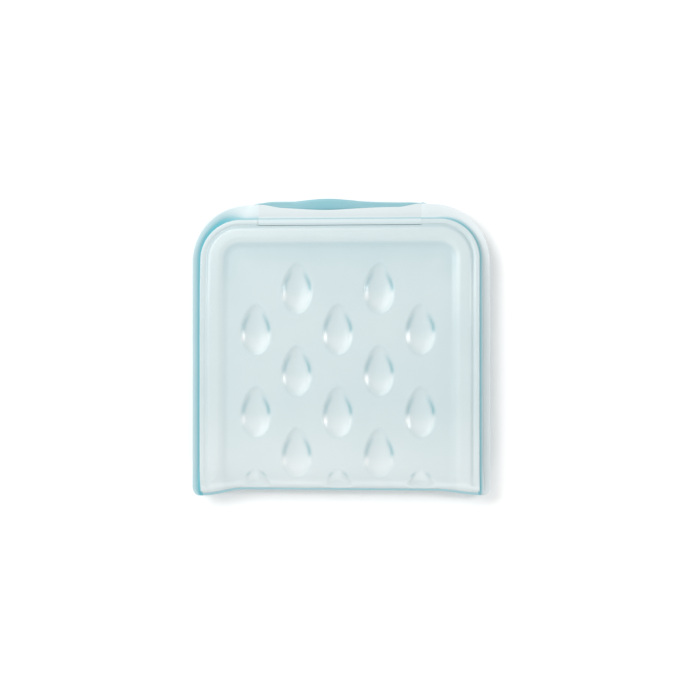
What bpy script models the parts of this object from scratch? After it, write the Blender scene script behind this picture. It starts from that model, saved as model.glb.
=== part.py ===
"""Reusable silicone food bag lying on its back: two dimpled walls, a rolled base, side seams, and a mouth
with two lips that press shut.

Metres, +Z up. +Y points out of the mouth, +X is the bag's right, and Z is the bag's thickness. The origin is
on the surface that the bag lies on, under the middle of its outline.
"""
import math

import bmesh
import bpy
import numpy as np
from mathutils.geometry import delaunay_2d_cdt

MM = 0.001

# Outline, seen from above
SEAM_X = 95.25 * MM            # outer edge of the side flange
RIM_X = 89.0 * MM              # raised rim of the walls
RIM_TOP = 81.8 * MM            # rim at the mouth end
FLANGE_TOP = 91.3 * MM         # outer edge of the flange at the mouth end
RIM_RADIUS = 25.5 * MM
FLANGE_RADIUS = 36.5 * MM
BASE_MIDDLE = -91.6 * MM       # bottom of the roll in the middle
CORNER_DROP = 3.1 * MM         # how much further the bottom corners reach
CORNER_START = 60 * MM

# Thickness
WALL = 1.3 * MM
MID = 11 * MM                  # height of the seam's plane above the surface
HALF_BODY = 11 * MM            # half the bag's thickness at the border's crest
HALF_MOUTH = 5.2 * MM
TAPER_START = 5 * MM
TAPER_POWER = 2.2
ROLL = 21 * MM                 # how far in from the bottom the wall starts to roll
ROLL_END = math.radians(64)    # where each wall stops
BASE_START = math.radians(67)  # where the base begins
ROLL_STEPS = (0, 0.3, 0.55, 0.75, 0.9, 1)

SPACING = 0.9 * MM             # least distance between the points that shape a wall

# Wall relief: distance in from the rim, and height against the border's flat crest
BORDER_IN = np.array([0, 2.6, 3.8, 5.2, 6.5, 11, 15.3, 19]) * MM
BORDER_UP = np.array([-0.5, -0.6, -1.4, -0.8, 0, 0, -1.4, -1.7]) * MM
CREASE_IN = 3.8 * MM

# Dimples: egg shapes in staggered rows
PITCH = 26.2 * MM
DIMPLE_X = -0.5 * MM
DIMPLE_Y = 37.6 * MM
DIMPLE_ROWS = 6
DIMPLE_HALF = (9.4 * MM, 16.2 * MM)
DIMPLE_TAPER = 0.2
DIMPLE_DEPTH = 2.2 * MM

# Side seam
FLANGE_HALF = 1.3 * MM
PANEL_GAP = 0.35 * MM
RIM_WIDTH = 1.3 * MM
FOOT_SHARE = 0.4               # how far out across the flange the edge wall's foot stands
FOOT_SHARE_BASE = 0.7
SEAM_TURN_START = -74 * MM     # where the flange starts to turn down into the edge wall
SEAM_TURN = 15 * MM

# Mouth
LIP_X = 52 * MM                # half width of the opening lips
WELD_X = 58 * MM
HINGE_IN = CREASE_IN
LIP_WALL = 1.2 * MM
SEAL_Y = 84.9 * MM
STRIP_X = 51 * MM              # half length of the seal strips
STRIP_FOOT = 0.55 * MM         # thickness of their feet
STRIP_BOND = 0.12 * MM         # bond line between a strip and its lip
BEAD_RADIUS = 0.75 * MM
BEAD_CENTRE = 0.35 * MM        # above the seam's plane
BEAD_FOOT = 1.6 * MM           # half width of the bead's foot
RAIL_IN = 1.15 * MM            # half the space between the rails
RAIL_WIDTH = 1.0 * MM
RAIL_TOP = 0.3 * MM
RAIL_EASE = 0.25 * MM
SEAL_HALF = 2.6 * MM           # lip's outer face at the seal, from the seam's plane
FRONT_LIP_END = 89.8 * MM
FINGER_DIP = 2.0 * MM          # depth of the dip in the front lip's edge
FINGER_SPREAD = 26 * MM        # half width of the dip, where it has fallen to a third
BACK_LIP_END = 93.3 * MM
TAB_X = -8.5 * MM
TAB_HALF = 27 * MM
TAB_ROOT = 90.1 * MM
TAB_END = 95.2 * MM
TAB_HALF_THICK = 1.1 * MM
GAP = 0.3 * MM


def clear_scene():
    """Start from nothing."""
    for old in list(bpy.data.objects):
        bpy.data.objects.remove(old)


def silicone(name, colour, roughness):
    """A soft translucent silicone."""
    material = bpy.data.materials.new(name)
    material.use_nodes = True
    shader = material.node_tree.nodes["Principled BSDF"]
    shader.inputs["Base Color"].default_value = (*colour, 1)
    shader.inputs["Roughness"].default_value = roughness
    shader.inputs["Metallic"].default_value = 0
    shader.inputs["Transmission Weight"].default_value = 0.5
    shader.inputs["IOR"].default_value = 1.41
    return material


def add_object(name, mesh, material, parts, parent=None):
    """Put a mesh, given in world metres, in the parts collection, with its origin on its parent's axis."""
    thing = bpy.data.objects.new(name, mesh)
    mesh.materials.append(material)
    mesh.shade_smooth()
    mesh.set_sharp_from_angle(angle=math.radians(40))
    if parent:
        thing.parent = parent
        mesh.transform(parent.matrix_world.inverted())
    parts.objects.link(thing)
    return thing


def loft(name, sections):
    """A closed body through a row of closed sections with the same number of points, capped at both ends."""
    sections = np.asarray(sections, float)
    rows, points = sections.shape[:2]
    bm = bmesh.new()
    rings = [[bm.verts.new(p) for p in ring] for ring in sections]
    for a, b in zip(rings[:-1], rings[1:]):
        for i in range(points):
            j = (i + 1) % points
            bm.faces.new((a[i], a[j], b[j], b[i]))
    bm.faces.new(rings[0])
    bm.faces.new(rings[-1])
    bm.normal_update()
    bmesh.ops.triangulate(bm, faces=bm.faces[:])
    bmesh.ops.recalc_face_normals(bm, faces=bm.faces[:])
    mesh = bpy.data.meshes.new(name)
    bm.to_mesh(mesh)
    bm.free()
    return mesh


def half_thickness(y):
    """Half the bag's thickness at the border's crest: even over the body, falling towards the mouth."""
    along = np.clip((y - TAPER_START) / (RIM_TOP - TAPER_START), 0, 1)
    return HALF_BODY - (HALF_BODY - HALF_MOUTH) * along ** TAPER_POWER


def base_line(x):
    """Where the bottom of the roll lies: straight in the middle, further out at the corners."""
    out = np.clip((np.abs(x) - CORNER_START) / (RIM_X - CORNER_START), 0, 1)
    return BASE_MIDDLE - CORNER_DROP * out ** 2 * (3 - 2 * out)


def roll_share(x, y):
    """One on the flat of the wall, falling as a quarter ellipse to zero at the bottom of the roll."""
    along = np.clip((base_line(x) + ROLL - y) / ROLL, 0, 1)
    return np.sqrt(1 - along ** 2)


def distance_in(x, y):
    """How far inside the rim a point is, counting the sides, the rounded corners and the mouth end."""
    side = np.abs(x) - (RIM_X - RIM_RADIUS)
    top = y - (RIM_TOP - RIM_RADIUS)
    corner = RIM_RADIUS - np.hypot(np.maximum(side, 0), np.maximum(top, 0))
    straight = RIM_RADIUS - np.maximum(side, top)
    return np.where((side > 0) & (top > 0), corner, straight)


def dimple_centres():
    """Staggered rows, two and three across, from the mouth end down."""
    centres = []
    for row in range(DIMPLE_ROWS):
        across = (-1, 1) if row % 2 == 0 else (-2, 0, 2)
        centres += [(DIMPLE_X + k * PITCH, DIMPLE_Y - row * PITCH) for k in across]
    return centres


def dimple_share(x, y, centre):
    """Zero at a dimple's middle and one at its egg-shaped edge, which is narrower towards the mouth."""
    up = (y - centre[1]) / DIMPLE_HALF[1]
    half = DIMPLE_HALF[0] * (1 - DIMPLE_TAPER * np.clip(up, -1, 1))
    return np.hypot((x - centre[0]) / half, up)


def plain_height(x, y):
    """Height of the wall's outer face above the seam's plane, with the border's relief and no dimples."""
    return (half_thickness(y) + np.interp(distance_in(x, y), BORDER_IN, BORDER_UP)) * roll_share(x, y)


def wall_height(x, y):
    """The plain height less the dimples, which fade out before the roll's end."""
    fade = np.clip((roll_share(x, y) - 0.5) / 0.4, 0, 1)
    sunk = np.zeros_like(x)
    for centre in dimple_centres():
        share = np.minimum(dimple_share(x, y, centre), 1)
        sunk = sunk + DIMPLE_DEPTH * (1 - share ** 2)
    return plain_height(x, y) - sunk * fade


def ring_inside(inset, sides, corners):
    """Points down the left side, from the bottom roll, round the top and down the right, at one inset."""
    radius = RIM_RADIUS - inset
    low = float(base_line(RIM_X) + ROLL)
    high = RIM_TOP - RIM_RADIUS
    ys = np.linspace(low, high, sides, endpoint=False)
    turn = np.linspace(math.pi, math.pi / 2, corners)
    cx = RIM_X - RIM_RADIUS
    left = [(-(RIM_X - inset), y) for y in ys]
    left += [(-cx + radius * math.cos(t), high + radius * math.sin(t)) for t in turn]
    right = [(-x, y) for x, y in reversed(left)]
    return left, right


def wall_outline():
    """The wall's edge: round the sides and corners, notched at the mouth for the lips, and across the roll."""
    left, right = ring_inside(RIM_WIDTH + PANEL_GAP, 9, 7)
    notch_x = LIP_X + GAP
    top = RIM_TOP - RIM_WIDTH - PANEL_GAP
    notch_y = RIM_TOP - HINGE_IN - WALL / 2 - GAP
    notch = [(-notch_x, top), (-notch_x, notch_y)]
    notch += [(x, notch_y) for x in np.linspace(-LIP_X, LIP_X, 9)[1:-1]]
    notch += [(notch_x, notch_y), (notch_x, top)]
    edge_x = RIM_X - RIM_WIDTH - PANEL_GAP
    turns = [ROLL_END * share for share in ROLL_STEPS[1:]]
    xs = np.linspace(-edge_x, edge_x, 15)
    side = [(-edge_x, float(base_line(edge_x) + ROLL * (1 - math.sin(t)))) for t in turns]
    bottom = [(x, float(base_line(x) + ROLL * (1 - math.sin(ROLL_END)))) for x in xs]
    climb = [(-x, y) for x, y in reversed(side[:-1])]
    return side[:-1][::-1] + left + notch + right + climb + bottom[::-1]


def wall_points():
    """Points inside the outline that carry the border's relief, the roll and the dimples."""
    points = []
    for inset in (*BORDER_IN[1:], 26 * MM):
        left, right = ring_inside(inset, 9, 7)
        across = np.linspace(left[-1][0], right[0][0], 8)[1:-1]
        points += left + [(x, RIM_TOP - inset) for x in across] + right
    for turn in (ROLL_END * share for share in ROLL_STEPS[:-1]):
        for inset in (*BORDER_IN[1:], 30 * MM, 45 * MM, 60 * MM, 75 * MM):
            x = RIM_X - inset
            y = float(base_line(x) + ROLL * (1 - math.sin(turn)))
            points += [(-x, y), (x, y)]
    for cx, cy in dimple_centres():
        for share, count in ((1, 10), (0.62, 10), (0, 1)):
            for k in range(count):
                t = 2 * math.pi * k / count
                up = share * math.sin(t)
                half = DIMPLE_HALF[0] * (1 - DIMPLE_TAPER * up)
                points.append((cx + half * share * math.cos(t), cy + DIMPLE_HALF[1] * up))
    return points


def inside_outline(points, outline, margin):
    """Keep the points that lie inside the outline by more than a margin."""
    corners = np.array(outline)
    ends = np.roll(corners, -1, axis=0)
    kept = []
    for point in points:
        p = np.array(point)
        run = ends - corners
        share = np.clip(((p - corners) * run).sum(1) / (run ** 2).sum(1), 0, 1)
        near = np.linalg.norm(corners + share[:, None] * run - p, axis=1).min()
        crosses = (corners[:, 1] > p[1]) != (ends[:, 1] > p[1])
        at = corners[:, 0] + (p[1] - corners[:, 1]) * run[:, 0] / np.where(run[:, 1] == 0, 1, run[:, 1])
        if near > margin and np.count_nonzero(crosses & (at > p[0])) % 2:
            kept.append(point)
    return kept


def spaced(points, least):
    """Drop points closer than a least spacing to one already kept."""
    kept = []
    for point in points:
        if all(math.dist(point, other) > least for other in kept):
            kept.append(point)
    return kept


def wall(name, side, material, parts):
    """One dimpled wall: an open surface over its outline, thickened inwards. Side is 1 in front, -1 behind."""
    outline = wall_outline()
    inner = spaced(inside_outline(wall_points(), outline, SPACING), SPACING)
    flat = outline + inner
    loop = list(range(len(outline)))
    verts, _, faces, *_ = delaunay_2d_cdt([tuple(p) for p in flat], [], [loop], 1, 1e-7)
    xy = np.array([tuple(v) for v in verts])
    z = MID + side * wall_height(xy[:, 0], xy[:, 1])
    mesh = bpy.data.meshes.new(name)
    mesh.from_pydata(np.column_stack([xy, z]).tolist(), [], [f if side > 0 else f[::-1] for f in faces])
    mesh.validate()
    thing = add_object(name, mesh, material, parts)
    solidify = thing.modifiers.new("wall", "SOLIDIFY")
    solidify.thickness = WALL
    solidify.offset = -1
    solidify.use_even_offset = True
    return thing


def seam_path(steps_side, steps_corner):
    """Pairs of rim and flange points up the left side and round the corner to the mouth's weld."""
    pairs = []
    for t in (84, 77, 68, 57, 44, 30, 14):
        y = float(base_line(RIM_X)) + ROLL * (1 - math.sin(math.radians(t)))
        pairs.append(((-RIM_X, y), (-SEAM_X, y)))
    low = float(base_line(RIM_X)) + ROLL
    rim_high = RIM_TOP - RIM_RADIUS
    flange_high = FLANGE_TOP - FLANGE_RADIUS
    for k in range(steps_side):
        s = k / steps_side
        pairs.append(((-RIM_X, low + (rim_high - low) * s), (-SEAM_X, low + (flange_high - low) * s)))
    for k in range(steps_corner + 1):
        t = math.pi - math.pi / 2 * k / steps_corner
        rim = (-(RIM_X - RIM_RADIUS) + RIM_RADIUS * math.cos(t), rim_high + RIM_RADIUS * math.sin(t))
        flange = (-(SEAM_X - FLANGE_RADIUS) + FLANGE_RADIUS * math.cos(t), flange_high + FLANGE_RADIUS * math.sin(t))
        pairs.append((rim, flange))
    pairs[-1] = ((-WELD_X - GAP, RIM_TOP), (-WELD_X - GAP, FLANGE_TOP))
    return pairs


def edge_section(rim, flange, rim_up, flange_half, foot_share):
    """One closed cross-section of a side seam: rim, edge wall, flange, and the same mirrored below."""
    rim = np.array(rim)
    out = np.array(flange) - rim
    width = np.linalg.norm(out)
    out = out / width
    foot = width * foot_share
    upper = [
        (-RIM_WIDTH, rim_up),
        (-0.1 * MM, rim_up),
        (foot, flange_half * 1.05),
        (width - 0.5 * MM, flange_half),
        (width, flange_half * 0.5),
    ]
    lower = [(n, -z) for n, z in reversed(upper)]
    inner = max(foot - 1.6 * MM, -RIM_WIDTH + 0.2 * MM)
    web = [(inner, -0.8 * flange_half), (inner, 0.8 * flange_half)]
    return [(*(rim + out * n), MID + z) for n, z in upper + lower + web]


def rim_height(y, x=RIM_X):
    """Height of the rim above the seam's plane."""
    return float((half_thickness(y) + BORDER_UP[0]) * roll_share(x, y))


def side_seam(name, side, material, parts):
    """Edge wall and bonded flange, from the bottom corner round to the mouth. Side is -1 left, 1 right."""
    sections = []
    for rim, flange in seam_path(7, 8):
        up = rim_height(rim[1])
        near_base = np.clip((SEAM_TURN_START - rim[1]) / SEAM_TURN, 0, 1)
        foot = FOOT_SHARE + (FOOT_SHARE_BASE - FOOT_SHARE) * near_base
        section = edge_section(rim, flange, up, min(FLANGE_HALF, 0.5 * up), foot)
        sections.append([(-side * x, y, z) for x, y, z in section])
    return add_object(name, loft(name, sections), material, parts)


def mouth_weld(name, side, material, parts):
    """Where the two lips are fused at one end of the mouth, thickening from the flange to the seal."""
    sections = []
    for share in (0, 0.5, 1):
        x = -(WELD_X + (LIP_X + GAP - WELD_X) * share)
        half = FLANGE_HALF + (SEAL_HALF - FLANGE_HALF) * share
        section = edge_section((x, RIM_TOP), (x, FLANGE_TOP), rim_height(RIM_TOP), half, FOOT_SHARE)
        sections.append([(-side * px, y, z) for px, y, z in section])
    return add_object(name, loft(name, sections), material, parts)


def base_gusset(material, parts):
    """The strip round the bottom of the roll that joins the two walls."""
    edge_x = RIM_X - RIM_WIDTH - PANEL_GAP
    upper = BASE_START + (math.pi / 2 - BASE_START) * np.array([0, 0.15, 0.4, 0.7, 1])
    turns = np.concatenate([upper, math.pi - upper[-2::-1]])
    verts, faces = [], []
    xs = np.linspace(-edge_x, edge_x, 15)
    for x in xs:
        y = base_line(x) + ROLL * (1 - np.sin(turns))
        half = half_thickness(y) + np.interp(distance_in(x, y), BORDER_IN, BORDER_UP)
        z = MID + half * np.cos(turns)
        verts += [(x, float(a), float(b)) for a, b in zip(y, z)]
    count = len(turns)
    for i in range(len(xs) - 1):
        for j in range(count - 1):
            a = i * count + j
            faces.append((a, a + 1, a + count + 1, a + count))
    mesh = bpy.data.meshes.new("base_gusset")
    mesh.from_pydata(verts, [], faces)
    thing = add_object("base_gusset", mesh, material, parts)
    solidify = thing.modifiers.new("wall", "SOLIDIFY")
    solidify.thickness = WALL
    solidify.offset = -1
    solidify.use_even_offset = True
    return thing


def hinge_point(side):
    """Where a lip bends: the middle of the wall at the crease."""
    y = RIM_TOP - HINGE_IN
    up = half_thickness(y) + BORDER_UP[2] - WALL / 2
    return (0, y, MID + side * float(up))


def front_lip_end(x):
    """Outer edge of the front lip, with a shallow dip for a finger."""
    return FRONT_LIP_END - FINGER_DIP * math.exp(-((x - TAB_X) / FINGER_SPREAD) ** 2)


def back_lip_end(x):
    """Outer edge of the back lip, stopping short of the tab where the tab is."""
    return TAB_ROOT - GAP if abs(x - TAB_X) < TAB_HALF + GAP else BACK_LIP_END


def lip_section(x, side, end):
    """Closed cross-section of a lip: round root on the crease, rim, slope, flat over the seal, outer edge."""
    _, hinge_y, hinge_z = hinge_point(1)
    root = hinge_z - MID
    half = WALL / 2
    rim_up = rim_height(RIM_TOP)
    outer = [(hinge_y + half * math.cos(t), root + half * math.sin(t)) for t in np.linspace(math.pi, math.pi / 2, 4)]
    outer += [
        (RIM_TOP - 2.4 * MM, rim_up + 0.1 * MM),
        (RIM_TOP - 0.1 * MM, rim_up),
        (RIM_TOP + 0.6 * MM, rim_up - 1.1 * MM),
        (RIM_TOP + 2.0 * MM, SEAL_HALF + 0.2 * MM),
        (SEAL_Y + 2.3 * MM, SEAL_HALF - 0.2 * MM),
        (end - 0.4 * MM, SEAL_HALF - 0.5 * MM),
        (end, SEAL_HALF - 0.9 * MM),
    ]
    inner = [
        (end - 0.3 * MM, SEAL_HALF - LIP_WALL - 0.2 * MM),
        (SEAL_Y + 2.2 * MM, SEAL_HALF - LIP_WALL),
        (SEAL_Y - 2.3 * MM, SEAL_HALF - LIP_WALL),
        (RIM_TOP - 1.1 * MM, rim_up - 1.5 * MM),
        (hinge_y + 0.9 * MM, root - half + 0.1 * MM),
        (hinge_y - half * math.cos(math.pi / 3), root - half * math.sin(math.pi / 3)),
    ]
    return [(x, y, MID + side * z) for y, z in outer + inner]


def lip_stations(side):
    """Where the lip's sections stand, close together at the steps beside the tab."""
    steps = [] if side > 0 else [TAB_X - TAB_HALF - 2 * GAP, TAB_X - TAB_HALF - GAP / 2,
                                 TAB_X + TAB_HALF + GAP / 2, TAB_X + TAB_HALF + 2 * GAP]
    return sorted([*np.linspace(-LIP_X, LIP_X, 13), *steps])


def lip(name, side, end_at, material, parts, hinge):
    """One lip of the mouth, between the welds, turning on its crease."""
    sections = [lip_section(x, side, end_at(x)) for x in lip_stations(side)]
    return add_object(name, loft(name, sections), material, parts, hinge)


def strip(name, profile, material, parts, hinge):
    """A straight strip along the mouth from a closed profile in y and z."""
    sections = [[(x, SEAL_Y + y, MID + z) for y, z in profile] for x in (-STRIP_X, STRIP_X)]
    return add_object(name, loft(name, sections), material, parts, hinge)


def seal_rib(material, parts, hinge):
    """Bead on a flat foot, on the inside of the front lip."""
    foot_top = SEAL_HALF - LIP_WALL - STRIP_BOND
    foot_low = foot_top - STRIP_FOOT
    turns = np.linspace(0, -math.pi, 7)
    bead = [(BEAD_RADIUS * math.cos(t), BEAD_CENTRE + BEAD_RADIUS * math.sin(t)) for t in turns]
    profile = [(-BEAD_FOOT, foot_top), (BEAD_FOOT, foot_top), (BEAD_FOOT, foot_low), (BEAD_RADIUS, foot_low),
               *bead, (-BEAD_RADIUS, foot_low), (-BEAD_FOOT, foot_low)]
    return strip("seal_rib", profile, material, parts, hinge)


def seal_channel(material, parts, hinge):
    """Two rails on a flat foot, on the inside of the back lip, that take the bead between them."""
    low = STRIP_BOND + LIP_WALL - SEAL_HALF
    floor = low + STRIP_FOOT
    out = RAIL_IN + RAIL_WIDTH
    right = [(out, low), (out, RAIL_TOP - RAIL_EASE), (out - RAIL_EASE, RAIL_TOP),
             (RAIL_IN + RAIL_EASE, RAIL_TOP), (RAIL_IN, RAIL_TOP - RAIL_EASE), (RAIL_IN, floor)]
    profile = right + [(-y, z) for y, z in reversed(right)]
    return strip("seal_channel", profile, material, parts, hinge)


def pull_tab(material, parts, hinge):
    """Thicker hump on the back lip's edge, to grip when pulling the mouth open."""
    sections = []
    for share in np.linspace(-1, 1, 15):
        x = TAB_X + share * TAB_HALF
        end = BACK_LIP_END + (TAB_END - BACK_LIP_END) * math.cos(share * math.pi / 2) ** 1.5
        centre = -SEAL_HALF + LIP_WALL / 2 + 0.2 * MM
        thick = TAB_HALF_THICK * (0.65 + 0.35 * math.cos(share * math.pi / 2))
        profile = [(TAB_ROOT, thick * 0.8), (TAB_ROOT + 0.8 * MM, thick), (end - 0.7 * MM, thick),
                   (end, thick * 0.45)]
        profile += [(y, -z) for y, z in reversed(profile)]
        sections.append([(x, y, MID + centre + z) for y, z in profile])
    return add_object("pull_tab", loft("pull_tab", sections), material, parts, hinge)


def hinge_empty(name, side, parts):
    """An empty on a lip's bending line."""
    empty = bpy.data.objects.new(name, None)
    empty.location = hinge_point(side)
    parts.objects.link(empty)
    bpy.context.view_layer.update()
    return empty


def build():
    """Make the whole bag."""
    clear_scene()
    parts = bpy.data.collections.new("reusable_silicone_bag")
    bpy.context.scene.collection.children.link(parts)
    clear = silicone("clear_aqua_silicone", (0.72, 0.86, 0.87), 0.3)
    edge = silicone("edge_aqua_silicone", (0.55, 0.78, 0.80), 0.3)
    seal = silicone("seal_aqua_silicone", (0.48, 0.72, 0.76), 0.35)
    front_hinge = hinge_empty("front_lip_hinge", 1, parts)
    back_hinge = hinge_empty("back_lip_hinge", -1, parts)
    wall("front_wall", 1, clear, parts)
    wall("back_wall", -1, clear, parts)
    base_gusset(edge, parts)
    side_seam("side_seam_left", -1, edge, parts)
    side_seam("side_seam_right", 1, edge, parts)
    mouth_weld("mouth_weld_left", -1, edge, parts)
    mouth_weld("mouth_weld_right", 1, edge, parts)
    lip("front_lip", 1, front_lip_end, clear, parts, front_hinge)
    lip("back_lip", -1, back_lip_end, edge, parts, back_hinge)
    pull_tab(seal, parts, back_hinge)
    seal_rib(seal, parts, front_hinge)
    seal_channel(seal, parts, back_hinge)


build()
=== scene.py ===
"""Reusable silicone food bag lying on its back on a white table, front wall up, mouth away from us."""
import math

import bpy
import numpy as np
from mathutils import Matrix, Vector


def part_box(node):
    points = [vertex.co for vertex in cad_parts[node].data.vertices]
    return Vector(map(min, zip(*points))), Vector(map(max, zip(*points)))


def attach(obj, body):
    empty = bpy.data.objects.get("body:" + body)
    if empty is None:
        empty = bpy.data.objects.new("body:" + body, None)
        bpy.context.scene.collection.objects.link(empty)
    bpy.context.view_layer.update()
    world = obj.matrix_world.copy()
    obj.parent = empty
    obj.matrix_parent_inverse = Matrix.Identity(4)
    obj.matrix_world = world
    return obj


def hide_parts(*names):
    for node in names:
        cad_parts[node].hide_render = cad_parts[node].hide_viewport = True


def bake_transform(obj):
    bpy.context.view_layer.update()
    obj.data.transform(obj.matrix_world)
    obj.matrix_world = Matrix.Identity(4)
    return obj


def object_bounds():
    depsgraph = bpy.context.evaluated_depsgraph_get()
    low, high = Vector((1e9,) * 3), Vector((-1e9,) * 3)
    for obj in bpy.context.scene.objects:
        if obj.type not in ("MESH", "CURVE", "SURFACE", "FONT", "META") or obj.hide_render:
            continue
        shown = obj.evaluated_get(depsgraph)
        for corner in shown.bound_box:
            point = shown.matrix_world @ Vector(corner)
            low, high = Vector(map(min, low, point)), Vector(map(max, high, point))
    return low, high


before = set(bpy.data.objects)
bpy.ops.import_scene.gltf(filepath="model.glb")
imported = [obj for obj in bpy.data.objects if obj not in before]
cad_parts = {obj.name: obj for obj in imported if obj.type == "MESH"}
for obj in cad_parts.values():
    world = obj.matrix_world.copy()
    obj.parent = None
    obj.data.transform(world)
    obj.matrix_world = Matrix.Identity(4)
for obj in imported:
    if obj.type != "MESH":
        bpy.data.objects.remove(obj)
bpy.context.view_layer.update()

MM = 0.001

# ---------------------------------------------------------------------------------------------------------
# Front and back walls. Each is one moulding of soft translucent silicone, about 1.3 mm thick: a raised
# border inside a crease, staggered egg-shaped dimples pressed inwards, and a bottom that rolls under.
# The same moulding is used for both, laid face to face.
# ---------------------------------------------------------------------------------------------------------
bag_low, bag_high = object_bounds()
MID = (bag_low[2] + bag_high[2]) / 2
BODY_HALF = (bag_high[2] - bag_low[2]) / 2
MOUTH_HALF = 5.2 * MM
SEAM_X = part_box("side_seam_right")[1][0]
RIM_X = SEAM_X - 6.25 * MM
RIM_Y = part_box("front_wall")[1][1] + 1.25 * MM
RIM_RADIUS = 25.5 * MM
WALL = 1.3 * MM
LIP_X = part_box("front_lip")[1][0] + 0.1 * MM
CREASE = 3.8 * MM
RIM_SINK = 0.55 * MM
TAPER_START = 5 * MM
ROLL = 21 * MM
ROLL_END = math.radians(65)
BASE_Y = -92.9 * MM
BASE_DROP = (2.4 * MM, 0.9 * MM)
BASE_DROP_START = 60 * MM
DIMPLE_PITCH = 26.2 * MM
DIMPLE_FIRST = (-0.5 * MM, 37.4 * MM)
DIMPLE_HALF = (9.8 * MM, 16.6 * MM)
LEMON = (1.68, 2.05)
DIMPLE_DEPTH = 2.4 * MM


def smooth(low, high, value):
    """Smoothstep: 0 below low, 1 above high, and 3t^2 - 2t^3 between."""
    t = np.clip((value - low) / (high - low), 0, 1)
    return t * t * (3 - 2 * t)


def half_thickness(y):
    """Half the bag's thickness: even over the body, then falling as a power curve towards the mouth."""
    t = np.clip((y - TAPER_START) / (RIM_Y - TAPER_START), 0, 1)
    return BODY_HALF - (BODY_HALF - MOUTH_HALF) * t ** 2.2


def base_line(x):
    """The bottom silhouette: straight in the middle, drooping by a smoothstep to each corner."""
    return BASE_Y - np.where(x < 0, *BASE_DROP) * smooth(BASE_DROP_START, RIM_X, np.abs(x))


def inside_rim(x, y):
    """Distance in from the rim: from the straight sides and end, or from the corner's arc."""
    side, top = np.abs(x) - (RIM_X - RIM_RADIUS), y - (RIM_Y - RIM_RADIUS)
    arc = RIM_RADIUS - np.hypot(np.maximum(side, 0), np.maximum(top, 0))
    return np.where((side > 0) & (top > 0), arc, RIM_RADIUS - np.maximum(side, top))


def relief(d, roll=0):
    """Height against the border's crest: rim, crease (a Gaussian groove), crest, and the sunken middle. The
    steps soften round the roll, where the silicone is stretched."""
    rim = -RIM_SINK * (1 - smooth(3.2 * MM, 6.8 * MM, d)) * (1 - roll)
    groove = -0.65 * MM * np.exp(-((d - CREASE) / (0.95 * MM)) ** 2) * (1 - roll)
    middle = -1.7 * MM * smooth((11 - 9 * roll) * MM, (18.5 + 9 * roll) * MM, d)
    edge = np.clip(1 - d / (0.5 * MM), 0, 1)
    return rim + groove + middle - 0.45 * MM * (1 - np.sqrt(1 - edge ** 2)) * (1 - roll)


def dimple_place(x, along, row, k):
    """A point's place against one dimple: (across, up) in half sizes, and its share of the way to the edge,
    from a superellipse that is nearly a diamond towards the mouth and round towards the base."""
    up = (along - DIMPLE_FIRST[1] + row * DIMPLE_PITCH) / DIMPLE_HALF[1]
    across = (x - DIMPLE_FIRST[0] - k * DIMPLE_PITCH) / DIMPLE_HALF[0] / (1 - 0.06 * np.clip(up, -1, 1))
    power = LEMON[0] + (LEMON[1] - LEMON[0]) * smooth(0.6, -0.6, up)
    return across, up, (np.abs(across) ** power + np.abs(up) ** power) ** (1 / power)


def dimple_places(x, along):
    """The places against every dimple, in staggered rows of two and three."""
    return [dimple_place(x, along, row, k) for row in range(6) for k in ((-1, 1), (-2, 0, 2))[row % 2]]


def dimple_depth(x, along):
    """Sum of smooth bowls, deepest in the middle, each with a small soft shoulder at its edge."""
    bowls = [np.clip(1 - share ** 2, 0, 1) for _, _, share in dimple_places(x, along)]
    return sum(DIMPLE_DEPTH * bowl ** 0.85 * smooth(0, 0.22, bowl) for bowl in bowls)


def dimple_shade_and_highlights(x, along):
    """Painted shade and light round each dimple, partly standing for silicone stacked up along the view:
    Gaussian streaks of painted shade on the upper flanks, darker on the right and fading towards the mouth,
    painted light on the lower end, a painted highlight low on each flank, stronger on the left, and a faint
    darker ring at the edge. The last row's dimples have only two painted shade marks near their upper ends."""
    stack = np.zeros_like(x)
    for across, up, share in dimple_places(x, along)[:-3]:
        flank = np.exp(-((share - 0.82 + 0.1 * up) / 0.12) ** 2) * smooth(0.25, 0.55, np.abs(across))
        reach = smooth(-0.20, 0.04, up) * (1 - 0.8 * smooth(0.15, 0.75, up))
        lit_lower_end = smooth(1.0, 0.6, share) * smooth(0.1, -0.6, up)
        painted_glint = np.exp(-((np.abs(across) - 0.82) / 0.13) ** 2 - ((up + 0.32) / 0.15) ** 2)
        # Painted shade streaks on the upper flanks, painted light on the lower end, painted highlights low on
        # the flanks.
        stack += (0.37 + 0.12 * across) * flank * reach - 0.09 * lit_lower_end - (0.17 - 0.13 * across) * painted_glint
        stack += 0.04 * np.exp(-((share - 0.98) / 0.05) ** 2)
    for across, up, share in dimple_places(x, along)[-3:]:
        # Painted shade marks near the upper ends of the last row.
        near_top = np.exp(-((share - 0.96) / 0.07) ** 2 - ((up - 0.74) / 0.12) ** 2)
        stack += 0.3 * near_top * smooth(0.2, 0.45, np.abs(across))
    return stack


def roll_length(turn):
    """Length round the roll's quarter ellipse: the speed along it, summed over fine steps of the turn."""
    fine = np.linspace(0, ROLL_END, 200)
    speed = np.hypot(ROLL * np.cos(fine), BODY_HALF * np.sin(fine))
    run = np.concatenate([[0], np.cumsum((speed[1:] + speed[:-1]) / 2 * np.diff(fine))])
    return np.interp(turn, fine, run)


def wall_columns():
    """Column shares: even steps across the lips' width, then steps that tighten towards each rim."""
    middle = np.linspace(-LIP_X, LIP_X, 105)
    out = 1 - (1 - np.linspace(0, 1, 46)[1:]) ** 1.6
    return middle, out


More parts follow.
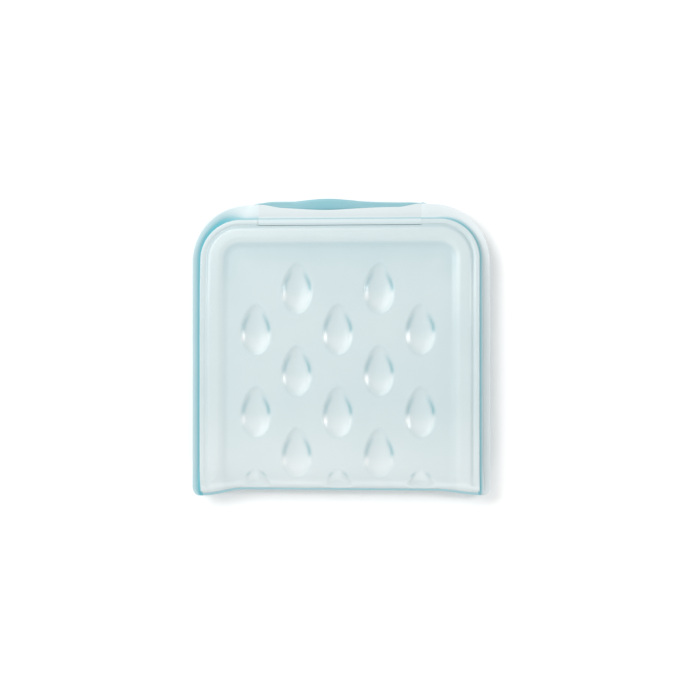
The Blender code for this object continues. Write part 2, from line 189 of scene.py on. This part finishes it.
def wall_points(side):
    """Rows: the roll as a quarter ellipse, even steps, then steps in the corner arc's sine, with a row on
    the crease. Relief and dimples push the plain surface along its own normal."""
    middle, out = wall_columns()
    corner_y = RIM_Y - RIM_RADIUS
    turns = np.linspace(ROLL_END, 0, 28)[:-1]
    arc = np.concatenate([np.arcsin(np.linspace(0, 0.74, 22)), np.linspace(math.asin(0.76), math.pi / 2, 44)])
    crease_row = np.argmin(np.abs(corner_y + RIM_RADIUS * np.sin(arc) - (RIM_Y - CREASE)))
    arc[crease_row] = math.asin(1 - CREASE / RIM_RADIUS)
    straight = np.linspace(0, 1, 124)[:-1]
    flat_rows = len(straight) + len(arc)
    corner_half = RIM_X - RIM_RADIUS + RIM_RADIUS * np.cos(arc)
    rim_half = np.concatenate([np.full(len(turns) + len(straight), RIM_X), corner_half])
    x_right = LIP_X + out[None, :] * (rim_half[:, None] - LIP_X)
    x = np.hstack([-x_right[:, ::-1], np.broadcast_to(middle, (len(rim_half), len(middle))), x_right])
    start = base_line(x) + ROLL
    turn = np.concatenate([turns, np.zeros(flat_rows)])[:, None]
    share = np.concatenate([np.zeros(len(turns)), straight, np.ones(len(arc))])[:, None]
    beyond = np.concatenate([np.zeros(len(turns) + len(straight)), RIM_RADIUS * np.sin(arc)])[:, None]
    y = start + share * (corner_y - start) + beyond - ROLL * np.sin(turn)
    z = half_thickness(y) * np.cos(turn)
    along = start + share * (corner_y - start) + beyond - roll_length(turn)
    plain = np.stack([x, y, z], axis=-1)
    across = np.gradient(plain, axis=1)
    up = np.gradient(plain, axis=0)
    normal = np.cross(across, up)
    normal /= np.linalg.norm(normal, axis=-1, keepdims=True)
    inset = inside_rim(x, np.maximum(y, start))
    held = smooth(0.97, 0.6, turn / ROLL_END)
    push = relief(inset, smooth(0.2, 0.95, turn / ROLL_END)) - dimple_depth(x, along) * held
    points = plain + normal * push[..., None]
    # Painted shade: the wall's colour deepens just inside the step down to the sunken middle, fading inwards
    # and strongest towards the mouth, and a little over the whole sunken middle.
    edge = np.exp(-np.clip(inset - 15 * MM, 0, 1) / (12 * MM)) * smooth(13.5 * MM, 15.5 * MM, inset)
    at_top = smooth(30 * MM, 62 * MM, y)
    low_painted_light = smooth(-30 * MM, -80 * MM, y)
    deep = 0.19 + (0.03 + 0.12 * at_top) * edge + 0.025 * smooth(14 * MM, 16 * MM, inset)
    # Painted shade in the crease, stronger towards the mouth.
    deep = deep + (0.05 + 0.08 * at_top) * np.exp(-((inset - CREASE - 0.6 * MM) / (1.3 * MM)) ** 2)
    # Painted light: the wall is lightened towards the roll at the base; the dimples' painted shade and
    # highlights go on top.
    deep = deep - 0.085 * low_painted_light + dimple_shade_and_highlights(x, along) * held
    points[..., 2] = MID + side * points[..., 2]
    gone = (np.abs(x[:-1, :-1] + x[1:, 1:]) / 2 < LIP_X) & (y[1:, :-1] > RIM_Y - CREASE + 0.01 * MM)
    return points, deep, gone


def grid_mesh(name, points, deep, flip=False, gone=None):
    """A mesh of quads over a grid of points, leaving out the cells marked gone, with the "deep" attribute."""
    rows, cols = points.shape[:2]
    index = np.arange(rows * cols).reshape(rows, cols)
    quads = np.stack([index[:-1, :-1], index[:-1, 1:], index[1:, 1:], index[1:, :-1]], axis=-1)
    quads = quads[~gone] if gone is not None else quads.reshape(-1, 4)
    quads = quads[:, ::-1] if flip else quads
    used, compact = np.unique(quads, return_inverse=True)
    mesh = bpy.data.meshes.new(name)
    mesh.from_pydata(points.reshape(-1, 3)[used].tolist(), [], compact.reshape(-1, 4).tolist())
    layer = mesh.attributes.new("deep", "FLOAT", "POINT")
    layer.data.foreach_set("value", np.broadcast_to(deep, (rows, cols)).reshape(-1)[used].astype(np.float32))
    mesh.update()
    mesh.shade_smooth()
    return mesh


def piece(name, mesh, material):
    """A new piece at the origin."""
    thing = bpy.data.objects.new(name, mesh)
    bpy.context.scene.collection.objects.link(thing)
    mesh.materials.append(material)
    return thing


def thicken(thing, thickness):
    """Give an open surface its wall, inwards."""
    solid = thing.modifiers.new("wall", "SOLIDIFY")
    solid.thickness = thickness
    solid.offset = -1
    solid.use_even_offset = True
    return thing


def surface_group():
    """Node group: fine moulding grain, faint flow clouds and soft finger haze on moulded silicone."""
    group = bpy.data.node_groups.new("moulded silicone skin", "ShaderNodeTree")
    face = group.interface
    face.new_socket("Position", in_out="INPUT", socket_type="NodeSocketVector")
    face.new_socket("Grain scale", in_out="INPUT", socket_type="NodeSocketFloat").default_value = 2600
    face.new_socket("Cloud scale", in_out="INPUT", socket_type="NodeSocketFloat").default_value = 22
    face.new_socket("Height", in_out="OUTPUT", socket_type="NodeSocketFloat")
    face.new_socket("Haze", in_out="OUTPUT", socket_type="NodeSocketFloat")
    face.new_socket("Cloud", in_out="OUTPUT", socket_type="NodeSocketFloat")
    node = group.nodes.new
    link = group.links.new
    start, end = node("NodeGroupInput"), node("NodeGroupOutput")
    grain = node("ShaderNodeTexNoise")
    grain.inputs["Detail"].default_value = 2
    link(start.outputs["Position"], grain.inputs["Vector"])
    link(start.outputs["Grain scale"], grain.inputs["Scale"])
    cloud = node("ShaderNodeTexNoise")
    cloud.inputs["Detail"].default_value = 3
    link(start.outputs["Position"], cloud.inputs["Vector"])
    link(start.outputs["Cloud scale"], cloud.inputs["Scale"])
    smear = node("ShaderNodeTexNoise")
    smear.inputs["Scale"].default_value = 60
    smear.inputs["Detail"].default_value = 4
    smear.inputs["Distortion"].default_value = 0.6
    link(start.outputs["Position"], smear.inputs["Vector"])
    haze = node("ShaderNodeMapRange")
    haze.inputs["From Min"].default_value = 0.35
    haze.inputs["From Max"].default_value = 0.75
    link(smear.outputs["Fac"], haze.inputs["Value"])
    link(grain.outputs["Fac"], end.inputs["Height"])
    link(haze.outputs["Result"], end.inputs["Haze"])
    link(cloud.outputs["Fac"], end.inputs["Cloud"])
    return group


SKIN = surface_group()


def silicone(name, pale, deep, milk, rough, density):
    """Translucent silicone: a clear body with some milk in it under a satin skin. Its colour goes from pale
    to deep with the piece's own "deep" attribute: how much silicone stacks up behind the skin, plus painted
    shade, painted light and painted highlights on the walls, seams and front lip."""
    material = bpy.data.materials.new(name)
    material.use_nodes = True
    nodes, link = material.node_tree.nodes, material.node_tree.links.new
    shader = nodes["Principled BSDF"]
    shader.inputs["IOR"].default_value = 1.41
    shader.inputs["Transmission Weight"].default_value = 1 - milk
    place = nodes.new("ShaderNodeTexCoord")
    skin = nodes.new("ShaderNodeGroup")
    skin.node_tree = SKIN
    skin.inputs["Grain scale"].default_value = 2600
    skin.inputs["Cloud scale"].default_value = 22
    link(place.outputs["Object"], skin.inputs["Position"])
    stack = nodes.new("ShaderNodeAttribute")
    stack.attribute_name = "deep"
    uneven = nodes.new("ShaderNodeMapRange")
    uneven.inputs["To Min"].default_value = -0.05
    uneven.inputs["To Max"].default_value = 0.07
    link(skin.outputs["Cloud"], uneven.inputs["Value"])
    amount = nodes.new("ShaderNodeMath")
    amount.use_clamp = True
    link(stack.outputs["Fac"], amount.inputs[0])
    link(uneven.outputs["Result"], amount.inputs[1])
    colour = nodes.new("ShaderNodeMix")
    colour.data_type = "RGBA"
    colour.inputs[6].default_value = (*pale, 1)
    colour.inputs[7].default_value = (*deep, 1)
    link(amount.outputs["Value"], colour.inputs[0])
    link(colour.outputs[2], shader.inputs["Base Color"])
    gloss = nodes.new("ShaderNodeMapRange")
    gloss.inputs["To Min"].default_value = rough
    gloss.inputs["To Max"].default_value = rough + 0.06
    link(skin.outputs["Haze"], gloss.inputs["Value"])
    link(gloss.outputs["Result"], shader.inputs["Roughness"])
    bump = nodes.new("ShaderNodeBump")
    bump.inputs["Strength"].default_value = 0.1
    bump.inputs["Distance"].default_value = 0.03 * MM
    link(skin.outputs["Height"], bump.inputs["Height"])
    link(bump.outputs["Normal"], shader.inputs["Normal"])
    body = nodes.new("ShaderNodeVolumeAbsorption")
    body.inputs["Color"].default_value = (0.10, 0.62, 0.70, 1)
    body.inputs["Density"].default_value = density
    link(body.outputs["Volume"], nodes["Material Output"].inputs["Volume"])
    return material


PALE, DEEP = (0.83, 0.875, 0.88), (0.10, 0.39, 0.455)
clear_silicone = silicone("clear aqua silicone", PALE, DEEP, milk=0.72, rough=0.20, density=12)
for name, side in (("front_wall", 1), ("back_wall", -1)):
    points, deep, gone = wall_points(side)
    wall = piece(name + "_moulding", grid_mesh(name, points, deep, side < 0, gone), clear_silicone)
    thicken(wall, WALL)
    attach(wall, "bag")
    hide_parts(name)

# ---------------------------------------------------------------------------------------------------------
# Base. The same silicone carried round the bottom of the roll, where the two walls run into each other.
# It is bonded to both walls along its edges.
# ---------------------------------------------------------------------------------------------------------
EDGE_PALE = (0.70, 0.74, 0.75)
edge_silicone = silicone("edge aqua silicone", EDGE_PALE, DEEP, milk=0.97, rough=0.36, density=20)


def base_points():
    """The middle of the roll: a half ellipse from one wall's end to the other's, across the bag, with the
    border's relief pushed along its normal."""
    x = np.linspace(-RIM_X, RIM_X, 160)[None, :]
    turn = np.linspace(ROLL_END, math.pi - ROLL_END, 25)[:, None]
    y = base_line(x) + ROLL * (1 - np.sin(turn))
    push = relief(inside_rim(x, 0 * y), 1) / np.hypot(BODY_HALF * np.sin(turn), ROLL * np.cos(turn))
    y = y - push * BODY_HALF * np.sin(turn)
    z = MID + (half_thickness(y) + push * ROLL) * np.cos(turn)
    return np.stack(np.broadcast_arrays(x, y, z), axis=-1)


base = piece("base_roll", grid_mesh("base_roll", base_points(), 0.70, flip=True), edge_silicone)
thicken(base, WALL)
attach(base, "bag")
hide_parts("base_gusset")

# ---------------------------------------------------------------------------------------------------------
# Side seams and mouth welds. Outside each rim an edge wall drops to a flat flange, where front and back
# are bonded face to face. The seam runs up the side, round the corner, and ends in the thick weld that
# closes the end of the mouth.
# ---------------------------------------------------------------------------------------------------------
FLANGE_Y = 90.9 * MM
FLANGE_RADIUS = 36.5 * MM
FLANGE_HALF = 1.3 * MM
SEAL_HALF = 2.6 * MM
EDGE_DROP = 1.25 * MM
TIP_START = -89 * MM


def closed_curve(points, count):
    """Closed Catmull-Rom curves through rows of points, sampled evenly in parameter."""
    size = points.shape[1]
    at = np.linspace(0, size, count, endpoint=False)
    i = at.astype(int)
    t = (at - i)[None, :, None]
    a, b, c, d = (points[:, (i + k) % size] for k in (-1, 0, 1, 2))
    square, cube = 2 * a - 5 * b + 4 * c - d, 3 * b - a - 3 * c + d
    return 0.5 * (2 * b + (c - a) * t + square * t ** 2 + cube * t ** 3)


def tube_mesh(name, rings, deep):
    """A closed body through rows of closed flat sections, each end closed with one face, with the "deep"
    attribute over the rows and sections."""
    rows, count = rings.shape[:2]
    index = np.arange(rows * count).reshape(rows, count)
    nxt = np.roll(index, -1, axis=1)
    quads = np.stack([index[:-1], nxt[:-1], nxt[1:], index[1:]], axis=-1).reshape(-1, 4)
    caps = [index[0, ::-1].tolist(), index[-1].tolist()]
    mesh = bpy.data.meshes.new(name)
    mesh.from_pydata(rings.reshape(-1, 3).tolist(), [], quads.tolist() + caps)
    layer = mesh.attributes.new("deep", "FLOAT", "POINT")
    layer.data.foreach_set("value", np.broadcast_to(deep, (rows, count)).reshape(-1).astype(np.float32))
    mesh.update()
    mesh.shade_smooth()
    mesh.set_sharp_from_angle(angle=math.radians(50))
    return mesh


def seam_stations(side):
    """Rim point, flange point and turn of the roll at each station, from the base to the mouth weld."""
    turns = np.concatenate([np.radians([89, 87, 84, 80]), np.radians(np.linspace(76, 0, 26))])
    low = base_line(side * RIM_X) + ROLL
    rim_y, flange_y = RIM_Y - RIM_RADIUS, FLANGE_Y - FLANGE_RADIUS
    share = np.linspace(0, 1, 70)[1:-1]
    bend = np.linspace(math.pi, math.pi / 2, 40)
    run = np.linspace(0, 1, 16)[1:]
    rim_cx, flange_cx = -(RIM_X - RIM_RADIUS), -(SEAM_X - FLANGE_RADIUS)
    end = -LIP_X
    rim = np.concatenate([
        np.stack([np.full(len(turns), -RIM_X), low - ROLL * np.sin(turns)], axis=1),
        np.stack([np.full(len(share), -RIM_X), low + (rim_y - low) * share], axis=1),
        np.stack([rim_cx + RIM_RADIUS * np.cos(bend), rim_y + RIM_RADIUS * np.sin(bend)], axis=1),
        np.stack([rim_cx + (end - rim_cx) * run, np.full(len(run), RIM_Y)], axis=1)])
    flange = np.concatenate([
        np.stack([np.full(len(turns), -SEAM_X), low - ROLL * np.sin(turns)], axis=1),
        np.stack([np.full(len(share), -SEAM_X), low + (flange_y - low) * share], axis=1),
        np.stack([flange_cx + FLANGE_RADIUS * np.cos(bend), flange_y + FLANGE_RADIUS * np.sin(bend)], axis=1),
        np.stack([flange_cx + (end - flange_cx) * run, np.full(len(run), FLANGE_Y)], axis=1)])
    turn = np.concatenate([turns, np.zeros(len(rim) - len(turns))])
    return rim, flange, turn


def edge_profile(width, up, flat, foot, inset, hollow):
    """Section outside the rim, as rows of (out, height): under the rim, a drop that flattens as a power
    curve, the flange with a round edge, the same mirrored, and the inner face, scooped out by hollow."""
    t = np.array([0, 0.05, 0.12, 0.22, 0.38, 0.65])[None, :]
    out = foot * t
    height = flat + (up - flat) * (1 - t) ** 9
    far = np.array([0.55, 0.85, 0.97, 1.0])[None, :]
    out = np.hstack([-inset, out, foot + (width - foot) * far])
    height = np.hstack([up, height, flat * np.array([1.0, 0.97, 0.72, 0.25])[None, :]])
    inner_out = np.array([0.62, 0.45, 0.18])[None, :] * (foot + inset) * hollow - inset * 1.02
    inner_up = np.array([0.28, 0.5, 0.8])[None, :] * up
    upper = np.stack([out, height], axis=-1)
    inner = np.stack([inner_out, inner_up], axis=-1)
    flip = np.array([1, -1])
    return np.concatenate([upper, upper[:, ::-1] * flip, (inner * flip)[:, ::-1], inner], axis=1)


def seam_rings(side):
    """The edge profile carried along the stations; the flange thins into the edge wall near the base and
    thickens to the weld's height at the mouth."""
    rim, flange, turn = seam_stations(side)
    direction = flange - rim
    width = np.linalg.norm(direction, axis=1, keepdims=True)
    direction /= width
    y = rim[:, 1:]
    turn = turn[:, None]
    up = (half_thickness(y) - RIM_SINK - EDGE_DROP) * np.cos(turn) + 0.9 * MM * np.sin(turn)
    inset = WALL * (0.6 + 0.4 * np.cos(turn))
    at_weld = smooth(-74 * MM, -LIP_X, rim[:, :1]) * (y > 0)
    flat = FLANGE_HALF + (SEAL_HALF - FLANGE_HALF) * at_weld
    near_base = smooth(72 * MM, 88 * MM, -y)
    foot = width * (0.62 + 0.26 * near_base)
    tip = np.clip((TIP_START - y) / (TIP_START - base_line(side * RIM_X)), 0, 1)
    shrink = np.sqrt(1 - 0.8 * tip ** 2.5)
    flat = np.minimum(flat, 0.78 * up)
    hollow = 1 - smooth(math.radians(62), math.radians(82), turn)
    section = edge_profile(width * shrink, up, flat, foot * shrink, inset, hollow)
    section = closed_curve(section, 96)
    at_mouth = smooth(-78 * MM, -60 * MM, rim[:, :1]) * smooth(60 * MM, 75 * MM, y)
    share = section[..., 0] / (width * shrink)
    # Colour attribute: darkest next to the rim and fading outwards, partly thicker silicone by the edge wall
    # and partly painted shade; the left band is painted darker overall, with a wider dark part, as painted
    # shade standing in for the key light from the left.
    span = (0.25 if side > 0 else 0.56) * (1 - 0.7 * at_mouth)
    fade = np.exp(-np.clip(share / span - 0.35, 0, None) ** 1.5 * 1.6)
    tint_and_side_shade = (0.27 if side < 0 else 0.0) * (1 - at_mouth) + (0.10 + 0.04 * (side < 0)) * at_mouth
    deep = tint_and_side_shade + (0.85 if side > 0 else 0.73) * fade * (1 - 0.3 * at_mouth) + 0.06 * near_base
    behind = at_mouth * (section[..., 1] < 0.3 * MM) * smooth(-60 * MM, -52 * MM, rim[:, :1])
    behind = behind * smooth(0.7, 0.95, share)
    deep = deep + 0.8 * np.sqrt(behind)
    out = section[..., :1] * (1 + 0.115 * behind)[..., None]
    xy = rim[:, None, :] + direction[:, None, :] * out
    rings = np.concatenate([xy, MID + section[..., 1:]], axis=-1)
    rings[..., 0] *= -side
    return (rings[:, ::-1], deep[:, ::-1]) if side > 0 else (rings, deep)


for name, side in (("left", -1), ("right", 1)):
    seam_mesh = tube_mesh("side_seam_" + name, *seam_rings(side))
    seam = piece("side_seam_" + name + "_band", seam_mesh, edge_silicone)
    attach(seam, "bag")
    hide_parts("side_seam_" + name, "mouth_weld_" + name)

# ---------------------------------------------------------------------------------------------------------
# Lips of the mouth. Front and back lip carry on from the walls outside the crease, over the rim, down a
# short drop and out over the seal. The silicone is continuous, so each half of a lip twists from its weld
# into the part that swings open.
# ---------------------------------------------------------------------------------------------------------
SEAL_Y = 84.9 * MM
LIP_WALL = 1.2 * MM
FRONT_END = 89.4 * MM
FINGER_DIP = 2.0 * MM
BACK_END = 92.9 * MM
TAB_X = -8.5 * MM
TAB_HALF = 27 * MM


def lip_columns(half):
    """Places along one half of the mouth, from the weld to the middle."""
    return half * np.linspace(LIP_X, 0, 70)


def lip_end(x, side):
    """Outer edge: a shallow Gaussian dip in front, a straight longer one behind, both sagging a little to
    the right by a smoothstep."""
    dip = FINGER_DIP * np.exp(-((x - TAB_X) / (26 * MM)) ** 2)
    start, full = (LIP_X, LIP_X - 15 * MM) if side > 0 else (LIP_X + 9 * MM, LIP_X - 9 * MM)
    shoulder = smooth(start, full, np.abs(x))
    sag = smooth(0, 40 * MM, x) * (0.4 * MM if side > 0 else 0.9 * MM)
    end = (FRONT_END - dip if side > 0 else BACK_END) - sag
    return FLANGE_Y + (end - FLANGE_Y) * shoulder


def lip_rings(half, side):
    """Section in rows of (y, height): the wall's own relief from the crease to the rim, a drop, a slope
    that flattens over the seal, a rounded outer edge, and the same set back by the lip's wall."""
    x = lip_columns(half)[:, None]
    inset = np.array([3.75, 3.3, 2.8, 2.0, 1.1, 0.45, 0.16, 0.02])[None, :] * MM
    y_rim = RIM_Y - inset + 0 * x
    z_rim = half_thickness(y_rim) + relief(inset)
    top = half_thickness(RIM_Y) - 1.8 * MM
    end = lip_end(x, side)
    flat = SEAL_HALF + 0 * x
    t = np.array([0.01, 0.05, 0.12, 0.22, 0.38, 0.65])[None, :]
    y_slope = RIM_Y + 0.62 * (FLANGE_Y - RIM_Y) * t + 0 * x
    z_slope = flat + (top - flat) * (1 - t) ** 9 + 0 * x
    y_edge = end - np.array([0.35, 0.08, 0.0, 0.12])[None, :] * MM
    z_edge = flat - np.array([0.08, 0.3, 0.62, 0.95])[None, :] * MM
    y_in = np.array([-0.45, -2.2, -4.6])[None, :] * MM + end
    z_in = flat - LIP_WALL + 0 * y_in
    y_back = RIM_Y + np.array([0.2, -0.9, -2.2, -3.55])[None, :] * MM + 0 * x
    z_back = np.array([0.62, 0.76, 0.70, 0.55])[None, :] * (half_thickness(RIM_Y) - 0.3 * MM) + 0 * x
    y = np.hstack([y_rim, y_slope, y_edge, y_in, y_back])
    z = np.hstack([z_rim, z_slope, z_edge, z_in, z_back])
    section = closed_curve(np.stack([y, z], axis=-1), 120)
    rings = np.stack([x + 0 * section[..., 0], section[..., 0], MID + side * section[..., 1]], axis=-1)
    # Front lip colour: a teal line on the drop just past the rim, partly silicone seen at a slant and partly
    # painted shade, as on the seams; painted shade in the crease; the wall's tint inside the rim.
    edge = np.exp(-((section[..., 0] - RIM_Y - 0.45 * MM) / (0.5 * MM)) ** 2) * (section[..., 1] > flat)
    crease = np.exp(-((section[..., 0] - RIM_Y + CREASE) / (1.3 * MM)) ** 2) * (section[..., 1] > flat)
    middle = smooth(LIP_X, LIP_X - 40 * MM, np.abs(x))
    rim = smooth(0.1 * MM, -0.6 * MM, section[..., 0] - RIM_Y)
    deep = 0.04 + 0.11 * rim + 0.5 * edge + 0.06 * crease if side > 0 else 0.69 + 0.05 * middle + 0 * edge
    return (rings, deep) if half * side < 0 else (rings[:, ::-1], deep[:, ::-1])


LIP_PALE = (0.62, 0.665, 0.675)
lip_silicone = silicone("lip aqua silicone", LIP_PALE, DEEP, milk=0.97, rough=0.30, density=20)
for name, side, material in (("front_lip", 1, lip_silicone), ("back_lip", -1, edge_silicone)):
    for hand, half in (("left", -1), ("right", 1)):
        lip = piece(name + "_" + hand, tube_mesh(name + "_" + hand, *lip_rings(half, side)), material)
        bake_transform(lip)
        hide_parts(name)

# ---------------------------------------------------------------------------------------------------------
# Pull tab. A thicker hump of denser silicone on the back lip's outer edge, moulded in one with it, to pull
# the mouth open by.
# ---------------------------------------------------------------------------------------------------------
TAB_ROOT = 87.5 * MM
TAB_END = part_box("pull_tab")[1][1] - 0.4 * MM


def tab_rings():
    """Rounded sections along the tab: its outer edge rises as a raised cosine from the lip's edge."""
    share = np.linspace(-1, 1, 90)[:, None]
    x = TAB_X + share * TAB_HALF
    rise = np.cos(share * math.pi / 2) ** 1.6
    end = BACK_END - 0.1 * MM + (TAB_END - BACK_END + 0.1 * MM) * rise
    thick = 1.1 * MM * (0.25 + 0.75 * np.cos(share * math.pi / 2) ** 0.7)
    turn = np.linspace(0, 2 * math.pi, 48, endpoint=False)[None, :]
    cy, half = (TAB_ROOT + end) / 2, (end - TAB_ROOT) / 2
    y = cy + half * np.sign(np.cos(turn)) * np.abs(np.cos(turn)) ** 0.6
    z = MID - SEAL_HALF + LIP_WALL / 2 + thick * np.sign(np.sin(turn)) * np.abs(np.sin(turn)) ** 0.6
    return np.stack(np.broadcast_arrays(x, y, z), axis=-1)


tab_deep = 0.69 + 0.09 * np.cos(np.linspace(-1, 1, 90)[:, None] * math.pi / 2)
tab = piece("pull_tab_grip", tube_mesh("pull_tab_grip", tab_rings(), tab_deep), edge_silicone)
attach(tab, "back_lip")
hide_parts("pull_tab")

# ---------------------------------------------------------------------------------------------------------
# Press seal. A bead strip inside the front lip and a twin-rail strip inside the back lip, bonded on; the
# bead presses between the rails to shut the bag.
# ---------------------------------------------------------------------------------------------------------


def strip_rings(half, outline):
    """A straight strip from near the weld to the middle, from an outline in y and height, its corners
    rounded by a fine Catmull-Rom curve; it narrows over its outer end."""
    x = half * np.linspace(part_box("seal_rib")[1][0], 0, 60)[:, None]
    narrow = 0.8 + 0.2 * smooth(0, 6 * MM, np.abs(x[0]) - np.abs(x))
    section = closed_curve(np.array(outline)[None] * MM, 4 * len(outline))
    y = SEAL_Y + section[..., 0] * narrow
    z = MID + section[..., 1] + 0 * x
    rings = np.stack([x + 0 * y, y, z], axis=-1)
    return rings if half > 0 else rings[:, ::-1]


foot = SEAL_HALF / MM - LIP_WALL / MM - 0.1
bead = [(0.75 * math.cos(t), 0.35 + 0.75 * math.sin(t)) for t in np.linspace(0, -math.pi, 9)]
rib_outline = [(-1.6, foot), (0, foot), (1.6, foot), (1.6, foot - 0.5), (0.85, foot - 0.55), *bead,
               (-0.85, foot - 0.55), (-1.6, foot - 0.5)]
rail = [(2.15, -foot), (2.15, -0.3), (2.1, 0.1), (1.8, 0.3), (1.45, 0.3), (1.2, 0.1), (1.15, -0.3),
        (1.1, -foot + 0.55), (0, -foot + 0.5)]
channel_outline = [(0, -foot)] + rail + [(-y, z) for y, z in reversed(rail[:-1])]
STRIPS = (("seal_rib", rib_outline, "front_lip"), ("seal_channel", channel_outline, "back_lip"))
for name, outline, body in STRIPS:
    for hand, half in (("left", -1), ("right", 1)):
        strip_mesh = tube_mesh(name + "_" + hand, strip_rings(half, outline), 0.6)
        strip = piece(name + "_" + hand, strip_mesh, edge_silicone)
        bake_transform(strip)
        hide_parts(name)

# ---------------------------------------------------------------------------------------------------------
# Floor, light and camera. A white table 0.1 mm under the bag, a large soft key light from the upper left,
# a small softbox on each side, a low fill from the bottom, and a white room.
# ---------------------------------------------------------------------------------------------------------


def white_floor():
    """A large white table just under the bag."""
    mesh = bpy.data.meshes.new("table")
    half, top = 3.0, -0.1 * MM
    corners = [(x * half, y * half, top) for x, y in ((-1, -1), (1, -1), (1, 1), (-1, 1))]
    mesh.from_pydata(corners, [], [(0, 1, 2, 3)])
    material = bpy.data.materials.new("white table")
    material.use_nodes = True
    shader = material.node_tree.nodes["Principled BSDF"]
    shader.inputs["Base Color"].default_value = (0.93, 0.93, 0.93, 1)
    shader.inputs["Roughness"].default_value = 0.9
    shader.inputs["Specular IOR Level"].default_value = 0
    table = piece("table", mesh, material)


def area_light(name, place, aim, size, power):
    """A rectangular soft light aimed at a point."""
    data = bpy.data.lights.new(name, "AREA")
    data.shape = "RECTANGLE"
    data.size, data.size_y = size
    data.energy = power
    lamp = bpy.data.objects.new(name, data)
    bpy.context.scene.collection.objects.link(lamp)
    lamp.location = place
    lamp.rotation_euler = (Vector(aim) - Vector(place)).to_track_quat("-Z", "Y").to_euler()


white_floor()
area_light("key", (-0.75, 0.75, 1.1), (0, 0, 0), (1.1, 1.1), 16.5)
area_light("left softbox", (-1.2, 0.25, 0.95), (0, 0, 0), (0.3, 0.35), 2.2)
area_light("right softbox", (0.9, 0.2, 1.07), (0, 0, 0), (0.25, 0.3), 4)
area_light("low fill", (0.1, -1.3, 0.6), (0, 0, 0), (1.2, 0.5), 6.5)
world = bpy.data.worlds.new("white room")
world.use_nodes = True
world.node_tree.nodes["Background"].inputs["Color"].default_value = (1, 1, 1, 1)
world.node_tree.nodes["Background"].inputs["Strength"].default_value = 0.58
bpy.context.scene.world = world

CAMERA_TILT = math.radians(5.5)
CAMERA_REACH = 1.189
AIM_X, AIM_Y = 6.3 * MM, -1.9 * MM
camera_data = bpy.data.cameras.new("camera")
camera_data.sensor_width = 36
camera_data.lens = 95.9
camera_data.clip_start = 0.01
camera = bpy.data.objects.new("camera", camera_data)
bpy.context.scene.collection.objects.link(camera)
aside, above = CAMERA_REACH * math.sin(CAMERA_TILT), CAMERA_REACH * math.cos(CAMERA_TILT)
camera.location = (AIM_X + aside, AIM_Y, MID + above)
camera.rotation_euler = (0, CAMERA_TILT, 0)
bpy.context.scene.camera = camera
bpy.context.scene.view_settings.view_transform = "Standard"
